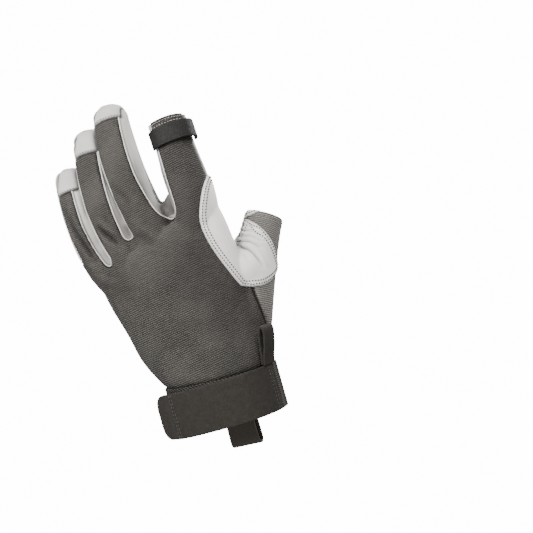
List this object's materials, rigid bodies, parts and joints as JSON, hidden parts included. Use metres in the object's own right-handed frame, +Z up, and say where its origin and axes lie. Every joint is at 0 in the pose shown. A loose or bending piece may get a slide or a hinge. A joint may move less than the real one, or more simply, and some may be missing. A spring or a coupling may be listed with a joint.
{
  "type": "climbing glove",
  "caption": "Left climbing glove with leather palm, knit back, rolled leather fingertips, open index and thumb, and a strapped cuff with a clip loop.",
  "frame": {"origin": "middle of the wrist opening, at the lower edge of the cuff, where a forearm holds the glove up", "axes": "+Z up the hand from wrist to fingertips, +X to the thumb side, +Y to the palm, so the back of the hand faces -Y"},
  "size_m": [0.1291, 0.0721, 0.2466],
  "materials": {
    "back_panel": "dark grey ribbed stretch knit",
    "palm_panel": "light grey smooth goat leather, softly creased",
    "fourchette_pinky_ring": "light grey smooth leather",
    "fourchette_ring_middle": "light grey smooth leather",
    "fourchette_middle_index": "light grey smooth leather",
    "pinky_side": "light grey smooth leather",
    "thumb_back": "dark grey coarse ribbed knit",
    "saddle_patch": "light grey smooth leather with double stitching",
    "cuff": "near-black ribbed elastic",
    "closure_strap": "near-black brushed hook-and-loop strap",
    "clip_loop": "black webbing",
    "pull_tab": "black brushed webbing",
    "index_tab": "black smooth webbing"
  },
  "bodies": {
    "root": {"back_panel": "back_panel", "palm_panel": "palm_panel", "fourchette_pinky_ring": "fourchette_pinky_ring", "fourchette_ring_middle": "fourchette_ring_middle", "fourchette_middle_index": "fourchette_middle_index", "pinky_side": "pinky_side", "thumb_back": "thumb_back", "saddle_patch": "saddle_patch", "cuff": "cuff", "closure_strap": "closure_strap", "clip_loop": "clip_loop", "pull_tab": "pull_tab", "index_tab": "index_tab"}
  },
  "joints": []
}
